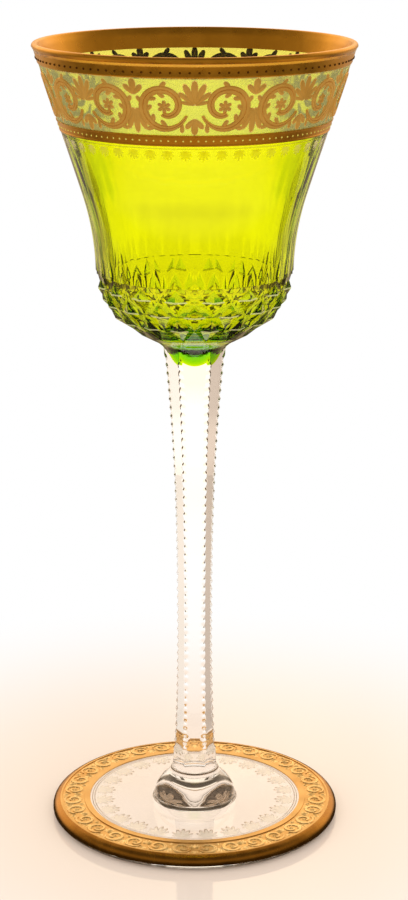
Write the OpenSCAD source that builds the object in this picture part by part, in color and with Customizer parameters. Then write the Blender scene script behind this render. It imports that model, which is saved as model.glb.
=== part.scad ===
// Hock wine glass: a bell-shaped bowl of clear crystal cased over a yellow-green lining, cut with hollow
// flutes and rows of diamonds, on a six-sided notched stem and a round foot, with gilded borders.
// Millimetres, +Z up, origin at the centre of the plane that the foot stands on, front toward -Y.

/* [Foot] */
// Diameter of the foot
foot_d = 75.6; // [66:0.2:88]
// Thickness of the foot at its rounded edge
foot_edge_t = 3.6; // [3:0.1:5]
// Rise of the upper face from the gilded border to the dome
foot_rise = 0.4; // [0.2:0.1:1.2]
// Height of the foot to the top of its dome
foot_h = 11; // [9:0.5:14]
// Diameter of the dome where it leaves the upper face
dome_d = 21.6; // [18:0.2:26]
// Width of the flat ring that the foot stands on
rest_w = 6; // [3:0.5:10]
// Depth of the hollow under the foot, at its centre
foot_hollow = 0.8; // [0.4:0.1:1.6]

/* [Merese] */
// Diameter of the glass button between stem and foot
merese_d = 12.8; // [12.4:0.2:15]
// Thickness of the button
merese_t = 1.6; // [1:0.1:2.4]

/* [Stem] */
// Length of the stem, from the button to the bowl
stem_l = 117.4; // [95:0.2:140]
// Number of flat sides
stem_sides = 6; // [6:1:8]
// Width across corners at the button
stem_base_d = 11.8; // [10.4:0.1:12.2]
// Width across corners at the slimmest place
stem_slim_d = 9.4; // [8:0.1:10.2]
// Height of the slimmest place above the button
stem_slim_h = 38; // [25:1:55]
// Width across corners where the flat sides would reach the bowl
stem_top_d = 16.6; // [15.6:0.1:17.6]
// Height of the flared cup under the bowl
cup_h = 9; // [8:0.5:11]
// Number of notches along each edge
notch_count = 48; // [24:1:56]
// Depth of a notch
notch_depth = 0.4; // [0.2:0.05:0.5]
// Depth of the bevel left on the edges between notches
edge_bevel = 0.05; // [0.03:0.01:0.1]
// Plain length left at each end of the notched edges
notch_margin = 5; // [4:0.5:8]

/* [Bowl] */
// Height of the bowl, from the stem to the lip
bowl_h = 73.8; // [66:0.2:82]
// Diameter of the glass at the lip
rim_d = 79.6; // [74:0.2:86]
// Diameter of the bowl at its waist
waist_d = 49.7; // [46:0.1:53]
// Height of the waist above the stem
waist_h = 16; // [15:0.5:18]
// Radius of the arc that flares the wall out above the waist
flare_r = 69; // [58:1:84]
// Diameter of the flat base that stands on the stem's cup
base_d = 22.8; // [21.4:0.2:25]
// Thickness of the clear casing at the lip
casing_lip_t = 1.2; // [0.9:0.05:1.5]
// Thickness of the clear casing at the waist, flutes included
casing_waist_t = 1.9; // [1.6:0.1:2.4]
// Thickness of the clear casing's base beside the plug
casing_floor_t = 0.2; // [0.1:0.1:0.6]
// Thickness of the coloured lining at the lip
lining_lip_t = 0.2; // [0.15:0.05:0.4]
// Thickness of the coloured lining at the waist
lining_waist_t = 1; // [0.7:0.1:1.3]
// Thickness of the coloured lining at its round bottom, above the plug
lining_floor_t = 1.4; // [0.8:0.1:1.8]
// Diameter of the coloured plug under the bowl
plug_d = 10.8; // [9.6:0.2:12]
// Depth of the plug below the bowl's base
plug_drop = 7; // [6:0.2:8]
// Height of the plug's rounded end
plug_round = 5.5; // [4:0.1:6]

/* [Cutting] */
// Number of diamonds in a row, with two flutes to a diamond
diamond_count = 16; // [14:1:20]
// Number of rows of diamonds
diamond_rows = 3; // [2:1:3]
// Depth of the ground between the diamonds
groove_depth = 0.9; // [0.4:0.1:1.2]
// Height from the line above the diamonds down to the first row of their peaks
first_row_h = 3.4; // [3:0.1:4]
// Height from one row of peaks to the next
row_h = 4.05; // [3.6:0.05:4.4]
// Height of the plain ring between the diamonds and the base
plain_h = 1.5; // [1:0.1:2]
// Share of the way to the next groove crossing that a diamond reaches sideways
diamond_side = 0.58; // [0.4:0.02:0.7]
// Share of the way up that it reaches
diamond_top = 0.85; // [0.6:0.05:0.95]
// Share of the way down that it reaches
diamond_foot = 0.95; // [0.6:0.05:0.95]
// Height above the stem of the line where the flutes stop and the diamonds start
cut_line_h = 17; // [16:0.5:19]
// Depth of the cut along that line
line_depth = 0.3; // [0.1:0.05:0.5]
// Height of the step from that cut out to the flutes
line_step_h = 0.15; // [0.1:0.05:0.4]
// Depth of the flutes
flute_depth = 0.06; // [0.04:0.02:0.4]
// Depth that the flutes gain at their lower ends
flute_end_depth = 0.35; // [0.1:0.05:0.5]
// Length over which they gain it
flute_end_l = 7; // [5:0.5:16]
// Length over which the flutes run out at the top
flute_fade = 8; // [5:1:14]
// Height of the plain strip between the flutes and the gilded band
strip_h = 1; // [0.6:0.1:4]

/* [Gilding] */
// Thickness of the gold, drawn thicker than real gilding
gild_t = 0.15; // [0.1:0.05:0.3]
// Clearance between the gold and the glass of the bowl
gild_gap = 0.02; // [0.01:0.01:0.05]
// Height of the gold outside the lip
rim_gild_h = 4.7; // [3:0.1:7]
// Height of the gold inside the lip
lip_gild_h = 5; // [3:0.1:8]
// Height of the frieze under the rim
frieze_h = 13.6; // [12:0.1:16]
// Height of the gilded band under the frieze
band_h = 2.7; // [1.5:0.1:4]
// Width of the gold border of the foot
border_w = 9.8; // [7:0.1:13]
// Width of the raised ring along the border's inner edge
border_ring_w = 1.6; // [0.8:0.1:2.4]
// Width of the raised line along its outer edge
border_line_w = 0.5; // [0.3:0.1:1]
// Height above the table at which the gold on the foot's edge stops
border_rest = 1.4; // [0.6:0.1:1.6]

/* [Frieze] */
// Number of upright palmettes around, with as many hanging ones between them
palmette_count = 8; // [7:1:9]
// Height of the relief on the ornament
relief_t = 0.3; // [0.15:0.05:0.5]
// Width of a volute at its tip
scroll_tip_w = 0.7; // [0.4:0.1:1]
// Width of a volute at its broadest
scroll_w = 2.4; // [1.6:0.1:2.6]
// Width of a volute at its inner end
scroll_end_w = 1.3; // [0.8:0.1:1.4]
// Turning of a volute from its tip to its inner end, in degrees
scroll_turn = 445; // [400:5:460]
// Radius of a volute's middle line at its inner end
scroll_end_r = 1.9; // [1.6:0.1:2.2]
// Width of the boss in the middle of a volute
boss_w = 1.4; // [1:0.1:1.6]
// Width of a petal
petal_w = 1.2; // [0.8:0.1:1.3]
// Gap around the root that petals spread from
root_gap = 0.9; // [0.8:0.1:1.2]
// Clear margin around the ornament
frieze_margin = 0.4; // [0.3:0.1:0.8]

/* [Hidden] */
$fn = 180;

// Azimuth of the front of the glass
front = -90;
// Height by which a cutting shape runs past the face that it opens
overrun = 1;

// Foot and merese
foot_r = foot_d / 2;
edge_r = foot_edge_t / 2;
border_r = foot_r - border_w;
foot_top_z = foot_edge_t + foot_rise;
dome_r = dome_d / 2;
merese_r = merese_d / 2;

// Heights of the joints and of the lip
stem_z = foot_h + merese_t;
bowl_z = stem_z + stem_l;
waist_z = bowl_z + waist_h;
line_z = bowl_z + cut_line_h;
rim_z = bowl_z + bowl_h;

// Heights of the bands under the lip
frieze_top_z = rim_z - rim_gild_h;
band_top_z = frieze_top_z - frieze_h;
band_z = band_top_z - band_h;
flute_top_z = band_z - strip_h;

// Surfaces of the bowl, each as waist radius, flare radius and lip radius
outside = [waist_d / 2, flare_r, rim_d / 2];
seam = outside + [-casing_waist_t, casing_waist_t, -casing_lip_t];
inside = seam + [-lining_waist_t, lining_waist_t, -lining_lip_t];
// Depths of the ellipses that round the belly below the waist: outside, at the seam and inside
belly_depth = waist_h / sqrt(1 - pow(base_d / waist_d, 2));
seam_depth = (waist_h - casing_floor_t) / sqrt(1 - pow(plug_d / 2 / seam[0], 2));
inside_depth = seam_depth - lining_floor_t;

// Steps along the curves, and points across one flute
flare_steps = 10;
belly_steps = 12;
plug_steps = 6;
flute_steps = 8;
flute_points = 4;

// Angle from the vertical at which a surface's flare arc runs into its straight cone
function cone_angle(s) =
    let (a = s[0] + s[1] - s[2], b = rim_z - waist_z)
    atan2(b, a) - acos(s[1] / norm([a, b]));

// Height at which the flare arc ends
function cone_z(s) = waist_z + s[1] * sin(cone_angle(s));

// Radius of a surface above the waist
function wall_r(s, z) =
    z < cone_z(s)
        ? s[0] + s[1] - sqrt(s[1] * s[1] - pow(z - waist_z, 2))
        : s[2] - (rim_z - z) * tan(cone_angle(s));

// Radius of the uncut outside at any height of the bowl
function outside_r(z) =
    z >= waist_z
        ? wall_r(outside, z)
        : outside[0] * sqrt(1 - pow((waist_z - z) / belly_depth, 2));

// Half outline of a surface from a radius on its round bottom up to a height at or above the lip
function wall_outline(s, depth, start_r, top_z) = concat(
    [for (i = [0:belly_steps - 1])
        let (first = asin(start_r / s[0]))
        let (a = first + (90 - first) * i / belly_steps)
        [s[0] * sin(a), waist_z - depth * cos(a)]],
    [for (i = [0:flare_steps])
        let (a = cone_angle(s) * i / flare_steps)
        [s[0] + s[1] * (1 - cos(a)), waist_z + s[1] * sin(a)]],
    [[wall_r(s, top_z), top_z]]);

// Half outline of the plug's rounded end, from its tip on the axis
function plug_end() = [
    for (i = [0:plug_steps])
        let (a = 90 * i / plug_steps)
        [plug_d / 2 * sin(a), bowl_z - plug_drop + plug_round * (1 - cos(a))]];

// Half outline of the whole lining from outside, with its plug
function seam_outline(top_z) = concat(plug_end(), wall_outline(seam, seam_depth, plug_d / 2, top_z));

function reversed(list) = [for (i = [len(list) - 1:-1:0]) list[i]];

// Point at a radius, azimuth and height
function polar(r, a, z) = [r * cos(a), r * sin(a), z];

// Two triangles of the cell right of point i, between ring starts low and high of n points each
function cell(low, high, i, n) =
    let (next = (i + 1) % n)
    [[low + i, high + i, high + next], [low + i, high + next, low + next]];

// Triangles of the skin over a stack of rings of n points each, from a first point number
function skin(rings, n, first = 0) = [
    for (j = [0:rings - 2], i = [0:n - 1])
        each cell(first + j * n, first + (j + 1) * n, i, n)];

// Fan that closes a ring of n points, facing back along the stack or on along it
function cap_back(start, n) = [for (i = [1:n - 2]) [start, start + i, start + i + 1]];
function cap_on(start, n) = [for (i = [1:n - 2]) [start, start + i + 1, start + i]];

// Stem

// Radius of the stem's corners at a height
slim_z = stem_z + stem_slim_h;
function shaft_r(z) =
    z < slim_z
        ? (stem_slim_d + (stem_base_d - stem_slim_d) * pow((slim_z - z) / (slim_z - stem_z), 2)) / 2
        : (stem_slim_d + (stem_top_d - stem_slim_d) * pow((z - slim_z) / (bowl_z - slim_z), 2.5)) / 2;

// Ring of the shaft at a height, with every corner cut back by a bevel of a given depth
function shaft_ring(z, depth) = [
    for (i = [0:stem_sides - 1], side = [-1, 1])
        let (a = front + (i + 0.5) * 360 / stem_sides)
        let (half_w = depth / tan(180 / stem_sides))
        polar(shaft_r(z) - depth, a, z) + side * half_w * [-sin(a), cos(a), 0]];

module shaft(top_z) {
    low_z = stem_z + notch_margin;
    step = (bowl_z - notch_margin - low_z) / (2 * notch_count);
    rings = concat(
        [shaft_ring(stem_z, edge_bevel)],
        [for (i = [0:2 * notch_count])
            shaft_ring(low_z + i * step, i % 2 == 0 ? edge_bevel : notch_depth)],
        [shaft_ring(top_z, edge_bevel)]);
    n = 2 * stem_sides;
    points = [for (ring = rings) each ring];
    faces = concat(
        cap_back(0, n),
        skin(len(rings), n),
        cap_on((len(rings) - 1) * n, n));
    polyhedron(points, faces);
}

// Flared cup that blends the stem out to the bowl's base
module cup() {
    cup_z = bowl_z - cup_h;
    foot_of_cup_r = shaft_r(cup_z) * cos(180 / stem_sides) - overrun;
    spread = base_d / 2 - foot_of_cup_r;
    arc_r = (cup_h * cup_h + spread * spread) / (2 * spread);
    rotate_extrude()
        difference() {
            translate([0, cup_z]) square([base_d / 2, cup_h]);
            translate([foot_of_cup_r + arc_r, cup_z]) circle(arc_r);
        }
}

module stem() {
    color("gainsboro")
        difference() {
            union() {
                shaft(bowl_z - overrun);
                cup();
            }
            rotate_extrude()
                polygon(concat(
                    plug_end(),
                    [[plug_d / 2, bowl_z + overrun], [0, bowl_z + overrun]]));
        }
}

// Foot and merese

module foot_plate() {
    translate([foot_r - edge_r, edge_r]) circle(edge_r);
    polygon([
        [0, 0],
        [foot_r - edge_r, 0],
        [foot_r - edge_r, foot_edge_t],
        [border_r, foot_edge_t],
        [dome_r, foot_top_z],
        [0, foot_top_z]]);
}

module dome() {
    rise = foot_h - foot_top_z;
    draw_in = dome_r - merese_r;
    arc_r = (rise * rise + draw_in * draw_in) / (2 * draw_in);
    intersection() {
        translate([dome_r - arc_r, foot_top_z]) circle(arc_r);
        translate([0, foot_edge_t]) square([dome_r, foot_h - foot_edge_t]);
    }
}

module foot() {
    color("gainsboro")
        rotate_extrude()
            difference() {
                union() {
                    foot_plate();
                    dome();
                }
                polygon([[0, -overrun], [foot_r - edge_r - rest_w, -overrun],
                         [foot_r - edge_r - rest_w, 0], [0, foot_hollow]]);
            }
}

module merese() {
    color("gainsboro")
        translate([0, 0, foot_h])
            rotate_extrude() {
                square([merese_r - merese_t / 2, merese_t]);
                translate([merese_r - merese_t / 2, merese_t / 2])
                    intersection() {
                        circle(merese_t / 2);
                        translate([0, -merese_t / 2]) square([merese_t / 2, merese_t]);
                    }
            }
}

// Bowl

module bowl_lining() {
    color("yellowgreen")
        rotate_extrude()
            polygon(concat(
                seam_outline(rim_z),
                reversed(wall_outline(inside, inside_depth, 0, rim_z))));
}

// Depth of the flutes at a height
function flute_d(z) =
    flute_depth * min(1, (flute_top_z - z) / flute_fade)
    + flute_end_depth * pow(max(0, 1 - (z - line_z) / flute_end_l), 2);

// Ring of the fluted wall at a height: ridges with hollows between them
function flute_ring(z, depth) = [
    for (i = [0:2 * diamond_count - 1], j = [0:flute_points - 1])
        let (t = j / flute_points)
        polar(outside_r(z) - 4 * depth * t * (1 - t), front + (i + t) * 180 / diamond_count, z)];

// Heights of the rings of the diamond cutting, from the line above it to the base
ring_z = concat(
    [line_z],
    [for (k = [1:diamond_rows]) line_z - first_row_h - (k - 1) * row_h],
    [bowl_z + plain_h, bowl_z]);

// Ring k of the diamond cutting: peaks and groove crossings take turns between the line and the plain ring
function diamond_ring(k) = [
    for (i = [0:2 * diamond_count - 1])
        let (crossing = (i + k) % 2 == 1)
        let (ground = k > diamond_rows + 1 ? 0 : k > diamond_rows ? groove_depth / 2 : groove_depth)
        let (cut = k == 0 ? line_depth : crossing || k > diamond_rows ? ground : 0)
        polar(outside_r(ring_z[k]) - cut, front + i * 180 / diamond_count, ring_z[k])];

// Corners of a diamond on the ground around its peak, the point i of ring k: left, right, top and bottom
function diamond_corners(i, k) =
    let (side = diamond_side * 180 / diamond_count)
    let (top_z = ring_z[k] + diamond_top * (ring_z[k - 1] - ring_z[k]))
    let (foot_z = ring_z[k] + diamond_foot * (ring_z[k + 1] - ring_z[k]))
    [for (c = [[-side, ring_z[k]], [side, ring_z[k]], [0, top_z], [0, foot_z]])
        polar(outside_r(c[1]) - groove_depth, front + i * 180 / diamond_count + c[0], c[1])];

// Point number of a diamond's first corner, the corners being numbered from a first one
function corner(first, i, k) = first + 4 * ((k - 1) * diamond_count + floor(i / 2));

// Triangles between a peak and two groove crossings: a facet of the diamond and the ground in front of it
function facet(first, peak, i, k, a, b, side_a, side_b) =
    let (start = corner(first, i, k), pa = start + side_a, pb = start + side_b)
    k < 1 || k > diamond_rows
        ? [[peak, a, b]]
        : [[peak, pa, pb], [pa, a, b], [pa, b, pb]];

// Triangles of a cell of the diamond cutting below ring k, split along the groove that crosses it
function diamond_cell(low, high, i, k, n, first) =
    let (next = (i + 1) % n, left = 0, right = 1, top = 2, bottom = 3)
    (i + k) % 2 == 1
        ? concat(
            facet(first, low + i, i, k + 1, high + i, low + next, top, right),
            facet(first, high + next, next, k, low + next, high + i, bottom, left))
        : concat(
            facet(first, low + next, next, k + 1, low + i, high + next, left, top),
            facet(first, high + i, i, k, high + next, low + i, right, bottom));

// Triangles of the ledge between the diamonds' top ring and the first ring of the flutes
function ledge(low, high, n) = [
    for (i = [0:n - 1])
        let (next = (i + 1) % n, half = flute_points / 2, start = high + i * flute_points)
        let (m = n * flute_points)
        each concat(
            [for (j = [0:half - 1]) [low + i, start + j, start + j + 1]],
            [[low + i, start + half, low + next]],
            [for (j = [half:flute_points - 1])
                [low + next, start + j, high + (i * flute_points + j + 1) % m]])];

module casing_block() {
    n = 2 * diamond_count;
    m = n * flute_points;
    last = len(ring_z) - 1;
    lower = [for (k = [last:-1:0]) diamond_ring(k)];
    corners = [for (k = [1:diamond_rows], j = [0:diamond_count - 1]) diamond_corners(2 * j + k % 2, k)];
    flute_z = line_z + line_step_h;
    upper = concat(
        [for (i = [0:flute_steps])
            let (z = flute_z + (flute_top_z - flute_z) * i / flute_steps)
            flute_ring(z, flute_d(z))],
        [flute_ring(rim_z, 0)]);
    first = len(lower) * n;
    top = first + (len(upper) - 1) * m;
    points = [for (ring = concat(lower, upper, corners)) each ring];
    faces = concat(
        cap_back(0, n),
        [for (k = [0:last - 1], i = [0:n - 1])
            let (low = (last - k - 1) * n)
            each diamond_cell(low, low + n, i, k, n, top + m)],
        ledge(last * n, first, n),
        skin(len(upper), m, first),
        cap_on(top, m));
    polyhedron(points, faces);
}

module bowl_casing() {
    color([0.9, 0.95, 0.75])
        difference() {
            casing_block();
            rotate_extrude()
                polygon(concat(seam_outline(rim_z + overrun), [[0, rim_z + overrun]]));
        }
}

// Gilding

// Half section of a layer of gold on the bowl's outside between two heights
function band_outline(low_z, high_z) = [
    [outside_r(low_z) + gild_gap, low_z],
    [outside_r(low_z) + gild_gap + gild_t, low_z],
    [outside_r(high_z) + gild_gap + gild_t, high_z],
    [outside_r(high_z) + gild_gap, high_z]];

module band_gilding() {
    color("goldenrod")
        rotate_extrude()
            polygon(band_outline(band_z, band_top_z));
}

module rim_gilding() {
    lip_z = rim_z - lip_gild_h;
    top_z = rim_z + gild_gap;
    out = band_outline(frieze_top_z, rim_z);
    color("goldenrod")
        rotate_extrude()
            polygon([
                out[0],
                out[1],
                [out[2].x, top_z + gild_t],
                [inside[2] - gild_gap - gild_t, top_z + gild_t],
                [wall_r(inside, lip_z) - gild_gap - gild_t, lip_z],
                [wall_r(inside, lip_z) - gild_gap, lip_z],
                [inside[2] - gild_gap, top_z],
                [out[3].x, top_z]]);
}

module foot_gilding() {
    color("goldenrod")
        rotate_extrude()
            difference() {
                union() {
                    translate([foot_r - edge_r, edge_r]) circle(edge_r + gild_t);
                    translate([border_r, edge_r]) square([border_w - edge_r, edge_r + gild_t]);
                    translate([border_r, edge_r]) square([border_ring_w, edge_r + 2 * gild_t]);
                    translate([foot_r - edge_r - border_line_w, edge_r])
                        square([border_line_w, edge_r + 2 * gild_t]);
                }
                foot_plate();
                translate([0, -overrun]) square([foot_r + overrun, overrun + border_rest]);
            }
}

// Frieze of facing volutes, with palmettes and trefoils between them

// Panel of the frieze, laid flat: u runs around the bowl and v up its slope
frieze_r = outside_r(band_top_z + frieze_h / 2);
panel_w = PI * frieze_r / palmette_count;
panel_h = frieze_h / cos(cone_angle(outside));
// Radius of a volute's middle line at its tip, and the turn at which it starts
scroll_r = (min(panel_w, panel_h) - scroll_w) / 2 - frieze_margin;
scroll_start = -158;
// Share of a volute's turning over which it swells, and how late it winds in
swell = 0.3;
wind_in = 1.8;
scroll_steps = 36;
// Directions of the petals from upright, and their lengths as shares of the longest
palmette_turns = [0, -22, 22];
palmette_shares = [1, 0.88, 0.88];
trefoil_turns = [0, -40, 40];
trefoil_shares = [1, 0.8, 0.8];
// Offsets of the roots from the middle of the panel, and the longest petals
palmette_v = 0.03 * panel_h;
trefoil_v = 0.2 * panel_h;
palmette_l = panel_h / 2 - palmette_v - root_gap - frieze_margin;
trefoil_l = panel_h / 2 - trefoil_v - root_gap - frieze_margin;
outline_points = 8;

// Point of the frieze at panel coordinates and a height above the glass
function on_frieze(u, v, h) =
    let (z = band_top_z + v * cos(cone_angle(outside)))
    polar(outside_r(z) + gild_gap + h, front + u / frieze_r * 180 / PI, z);

// Width of a volute at a share of its turning
function scroll_width(s) =
    scroll_tip_w + (scroll_w - scroll_tip_w) * min(1, s / swell)
    - (scroll_w - scroll_end_w) * max(0, s - swell) / (1 - swell);

// Ring of three points across the volute of panel k: left foot, ridge and right foot
function scroll_ring(k, s) =
    let (hand = k % 2 == 0 ? 1 : -1, a = scroll_start + scroll_turn * s)
    let (r = scroll_r + (scroll_end_r - scroll_r) * pow(s, wind_in), w = hand * scroll_width(s) / 2)
    [for (p = [[r - w, 0], [r, relief_t], [r + w, 0]])
        on_frieze((k + 0.5) * panel_w + hand * p[0] * cos(a), panel_h / 2 + p[0] * sin(a), p[1])];

function scroll_points(k) = [for (i = [0:scroll_steps]) each scroll_ring(k, i / scroll_steps)];

// Points of a petal from its root, in a direction: the outline, then the middle below and above
function petal_points(root, turn, l, w) =
    let (d = [cos(turn), sin(turn)], across = [-sin(turn), cos(turn)])
    concat(
        [for (i = [0:outline_points - 1])
            let (a = 360 * i / outline_points, s = (1 - cos(a)) / 2)
            let (p = root + d * l * s - across * w / 2 * sin(a) * (0.5 + 0.5 * s))
            on_frieze(p.x, p.y, 0)],
        [for (h = [0, relief_t])
            let (p = root + d * l * 0.6)
            on_frieze(p.x, p.y, h)]);

// Petals spread around an aim from one root
function spray(root, aim, turns, shares, l) = [
    for (i = [0:len(turns) - 1])
        let (turn = aim + turns[i])
        petal_points(root + root_gap * [cos(turn), sin(turn)], turn, l * shares[i], petal_w)];

// Petals of the palmette and the trefoil at panel edge k, and the boss of the volute to its right
function panel_petals(k) =
    let (up = k % 2 == 0 ? 1 : -1, edge = [k * panel_w, panel_h / 2])
    concat(
        spray(edge + [0, up * palmette_v], up * 90, palmette_turns, palmette_shares, palmette_l),
        spray(edge - [0, up * trefoil_v], -up * 90, trefoil_turns, trefoil_shares, trefoil_l),
        [petal_points(edge + [panel_w - boss_w, 0] / 2, 0, boss_w, boss_w)]);

function shifted(faces, by) = [for (f = faces) [for (i = f) i + by]];

module scroll_gilding() {
    panels = 2 * palmette_count;
    ring_count = scroll_steps + 1;
    scrolls = [for (k = [0:panels - 1]) scroll_points(k)];
    petals = [for (k = [0:panels - 1]) each panel_petals(k)];
    scroll_faces = concat(cap_back(0, 3), skin(ring_count, 3), cap_on((ring_count - 1) * 3, 3));
    n = outline_points;
    petal_faces = [
        for (i = [0:n - 1])
            each [[i, (i + 1) % n, n], [(i + 1) % n, i, n + 1]]];
    first_petal = panels * ring_count * 3;
    color("darkgoldenrod")
        polyhedron(
            [for (piece = concat(scrolls, petals)) each piece],
            concat(
                [for (k = [0:panels - 1]) each shifted(scroll_faces, k * ring_count * 3)],
                [for (k = [0:len(petals) - 1]) each shifted(petal_faces, first_petal + k * (n + 2))]));
}

bowl_lining();
bowl_casing();
stem();
merese();
foot();
rim_gilding();
scroll_gilding();
band_gilding();
foot_gilding();
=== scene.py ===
"""Hock wine glass of cased, cut and gilded crystal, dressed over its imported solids."""
import math
import bmesh
import bpy
from mathutils import Matrix, Vector


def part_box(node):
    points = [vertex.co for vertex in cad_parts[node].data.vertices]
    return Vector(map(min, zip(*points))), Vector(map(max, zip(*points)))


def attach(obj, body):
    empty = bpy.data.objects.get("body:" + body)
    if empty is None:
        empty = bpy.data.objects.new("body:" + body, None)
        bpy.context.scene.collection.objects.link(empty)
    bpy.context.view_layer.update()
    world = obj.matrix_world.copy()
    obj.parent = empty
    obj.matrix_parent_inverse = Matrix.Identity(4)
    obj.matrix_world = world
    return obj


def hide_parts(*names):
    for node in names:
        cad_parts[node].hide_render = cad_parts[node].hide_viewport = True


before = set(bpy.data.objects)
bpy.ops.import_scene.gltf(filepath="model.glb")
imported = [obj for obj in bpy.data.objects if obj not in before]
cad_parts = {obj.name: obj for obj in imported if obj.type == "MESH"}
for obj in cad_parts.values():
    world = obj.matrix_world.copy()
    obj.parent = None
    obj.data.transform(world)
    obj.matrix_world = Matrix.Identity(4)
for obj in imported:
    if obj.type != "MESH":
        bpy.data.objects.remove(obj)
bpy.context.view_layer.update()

# Sizes in metres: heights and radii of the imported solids
MM = 0.001
casing_low, casing_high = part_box("bowl_casing")
merese_low, merese_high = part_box("merese")
RIM_Z = casing_high.z
LIP_R = casing_high.x
BOWL_Z = casing_low.z
STEM_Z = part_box("stem")[0].z
MERESE_Z = merese_low.z
MERESE_R = merese_high.x
FOOT_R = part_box("foot")[1].x
FRONT = math.radians(-90)

# Bowl: its outer face, the seam between the clear and the coloured glass, and its inner face
WAIST_Z = BOWL_Z + 16 * MM
BELLY_DEPTH = 18 * MM
BASE_R = 11.4 * MM
# Each wall: radius at the waist, radius of the flare, radius at the lip
OUTSIDE = (24.85 * MM, 69 * MM, LIP_R)
SEAM = (22.95 * MM, 70.9 * MM, LIP_R - 1.2 * MM)
INSIDE = (21.95 * MM, 71.9 * MM, LIP_R - 1.4 * MM)
LIP_BEND = (OUTSIDE[2] - INSIDE[2]) / 2
PLUG_R = 5.4 * MM
CASING_FLOOR_T = 0.2 * MM
LINING_FLOOR_T = 1.4 * MM
SEAM_DEPTH = (WAIST_Z - BOWL_Z - CASING_FLOOR_T) / math.sqrt(1 - (PLUG_R / SEAM[0]) ** 2)
INSIDE_DEPTH = SEAM_DEPTH - LINING_FLOOR_T
PLUG_TIP_Z = BOWL_Z - 7 * MM
PLUG_ROUND = 5.5 * MM
LINING_INSET = 0.03 * MM
JOINT_GAP = 0.02 * MM
LINING_TOP_Z = RIM_Z - 1.2 * MM
WALL_STEPS = 30

# Cutting: three rows of diamonds under a line, hollow flutes above it
DIAMONDS = 16
DIAMOND_ROWS = 3
LINE_Z = BOWL_Z + 17 * MM
FIRST_ROW_Z = LINE_Z - 3.4 * MM
ROW_H = 4.05 * MM
PLAIN_H = 1.5 * MM
ROW_Z = [LINE_Z] + [FIRST_ROW_Z - ROW_H * i for i in range(DIAMOND_ROWS)] + [BOWL_Z + PLAIN_H, BOWL_Z]
GROOVE_DEPTH = 1.1 * MM
# Width of the bevel on each diamond's side ridges, whose pale finish is a painted highlight
RIDGE_W = 0.22 * MM
GROOVE_W = 0.5 * MM
# Share of the way to the next crossing that a diamond reaches: sideways, up and down
DIAMOND_SIDE = 0.58
DIAMOND_TOP = 0.85
DIAMOND_FOOT = 0.95
LINE_DEPTH = 0.3 * MM
LEDGE_H = 0.15 * MM
FLUTES = 2 * DIAMONDS
FLUTE_FACES = 10
FLUTE_STEPS = 24
FLUTE_DEPTH = 0.06 * MM
FLUTE_FADE = 8 * MM
FLUTE_END_DEPTH = 0.35 * MM
FLUTE_END_H = 7 * MM

# Gilding
GILD_T = 0.15 * MM
SEATED = 0.03 * MM
RIM_GILD_Z = RIM_Z - 4.7 * MM
LIP_GILD_Z = RIM_Z - 5 * MM
BAND_TOP_Z = RIM_GILD_Z - 13.6 * MM
BAND_Z = BAND_TOP_Z - 2.7 * MM
FLUTE_TOP_Z = BAND_Z - 1 * MM

# Stem
STEM_SIDES = 6
STEM_BASE_R = 5.9 * MM
STEM_SLIM_R = 4.7 * MM
STEM_TOP_R = 8.3 * MM
STEM_SLIM_Z = STEM_Z + 38 * MM
STEM_SWELL = 2.5
CUP_Z = BOWL_Z - 9 * MM
CUP_INSET = 1 * MM
NOTCHES = 48
NOTCH_DEPTH = 0.4 * MM
NOTCH_MARGIN = 5 * MM
# Places of the mesh rings along one notch, as shares of its length
NOTCH_RINGS = (0, 0.12, 0.3, 0.5, 0.7, 0.88)
EDGE_BEVEL = 0.05 * MM

# Foot
FOOT_EDGE_R = 1.8 * MM
FOOT_RISE = 0.4 * MM
DOME_R = 10.8 * MM
DOME_FILLET = 0.9 * MM
FOOT_HOLLOW = 0.8 * MM
REST_W = 6 * MM
BORDER_R = FOOT_R - 9.8 * MM
BORDER_RING_W = 1.6 * MM
BORDER_LINE_W = 0.5 * MM

TURN_STEPS = 240


# Materials

def linear(hex_colour):
    """An sRGB hex colour as the linear colour that Blender's sockets take."""
    parts = [int(hex_colour[i:i + 2], 16) / 255 for i in (1, 3, 5)]
    return [p / 12.92 if p <= 0.04045 else ((p + 0.055) / 1.055) ** 2.4 for p in parts] + [1]


def add(tree, kind, values=None, **settings):
    """Adds a node with its settings; a value that is a socket is linked, any other is set."""
    made = tree.nodes.new(kind)
    for name, setting in settings.items():
        setattr(made, name, setting)
    for socket, value in (values or {}).items():
        if isinstance(value, bpy.types.NodeSocket):
            tree.links.new(value, made.inputs[socket])
        else:
            made.inputs[socket].default_value = value
    return made


def material(name):
    """A bare material with its node tree emptied."""
    made = bpy.data.materials.new(name)
    made.use_nodes = True
    made.node_tree.nodes.clear()
    return made, made.node_tree


def mottle(tree, size, low, high, detail=2):
    """Soft noise whose spots are about size metres across, between two values."""
    place = add(tree, "ShaderNodeTexCoord").outputs["Object"]
    noise = add(tree, "ShaderNodeTexNoise", {"Vector": place, "Scale": 1 / size, "Detail": detail})
    return add(tree, "ShaderNodeMapRange", {
        "Value": noise.outputs["Fac"], "From Min": 0.3, "From Max": 0.7,
        "To Min": low, "To Max": high}).outputs["Result"]


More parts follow.
